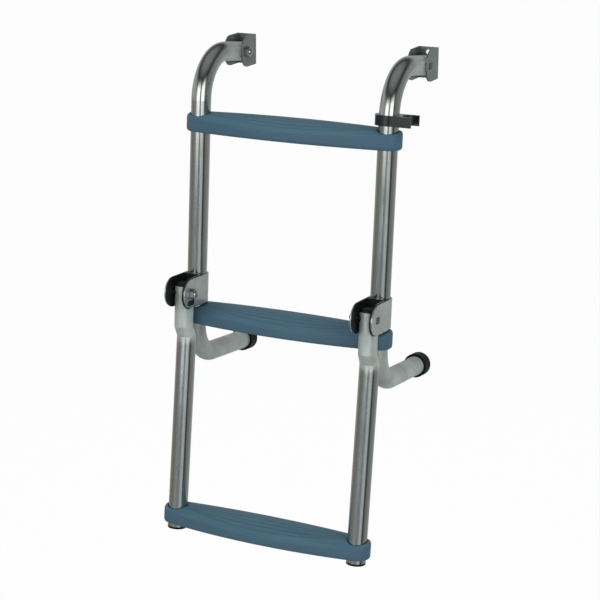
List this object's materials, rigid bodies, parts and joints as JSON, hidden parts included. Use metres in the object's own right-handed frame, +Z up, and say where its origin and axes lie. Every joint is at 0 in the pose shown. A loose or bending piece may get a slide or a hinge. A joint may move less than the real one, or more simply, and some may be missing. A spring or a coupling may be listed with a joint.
{
  "type": "folding transom ladder",
  "caption": "Folding boat transom ladder: bent stainless tube rails on hinged transom brackets, moulded plastic treads, and a lower section that folds up into a clip.",
  "frame": {"origin": "centre of the left transom bracket's back face, between its two screw holes", "axes": "+Z up, +Y out of the back face into the transom, +X from the left rail to the right rail, seen by someone facing the transom"},
  "size_m": [0.311, 0.2454, 0.631],
  "materials": {
    "tube_steel": "polished stainless tube with soft streaks along it",
    "plate_steel": "satin stainless sheet",
    "bolt_steel": "bright stainless",
    "tread_plastic": "blue-grey moulded plastic with a fine grain and shallow grooves",
    "black_plastic": "black moulded plastic",
    "cap_rubber": "black rubber"
  },
  "bodies": {
    "transom_brackets": {"left_transom_bracket": "plate_steel", "left_bracket_bolt": "bolt_steel", "left_bracket_nut": "bolt_steel", "right_transom_bracket": "plate_steel", "right_bracket_bolt": "bolt_steel", "right_bracket_nut": "bolt_steel"},
    "upper_section": {"left_upper_rail": "tube_steel", "left_standoff_cap": "cap_rubber", "left_hinge_bracket": "plate_steel", "left_hinge_liner": "black_plastic", "left_hinge_bolt": "bolt_steel", "left_hinge_nut": "bolt_steel", "right_upper_rail": "tube_steel", "right_standoff_cap": "cap_rubber", "right_hinge_bracket": "plate_steel", "right_hinge_liner": "black_plastic", "right_hinge_bolt": "bolt_steel", "right_hinge_nut": "bolt_steel", "top_tread": "tread_plastic", "middle_tread": "tread_plastic"},
    "lower_section": {"left_lower_rail": "tube_steel", "left_head_plug": "black_plastic", "left_foot_plug": "black_plastic", "right_lower_rail": "tube_steel", "right_head_plug": "black_plastic", "right_foot_plug": "black_plastic", "bottom_tread": "tread_plastic"},
    "clip": {"fold_clip": "black_plastic"}
  },
  "joints": [
    {"name": "ladder_swing", "type": "hinge", "parent": "transom_brackets", "child": "upper_section", "pos_m": [0.1295, -0.0275, 0], "axis": [-1, 0, 0], "range_deg": [0, 110]},
    {"name": "lower_fold", "type": "hinge", "parent": "upper_section", "child": "lower_section", "pos_m": [0.1295, -0.19228, -0.28867], "axis": [-1, 0, 0], "range_deg": [0, 183.89]},
    {"name": "clip_swivel", "type": "hinge", "parent": "upper_section", "child": "clip", "pos_m": [0.259, -0.13164, -0.05089], "axis": [0, -0.0776, -0.997], "range_deg": [0, 90]}
  ]
}
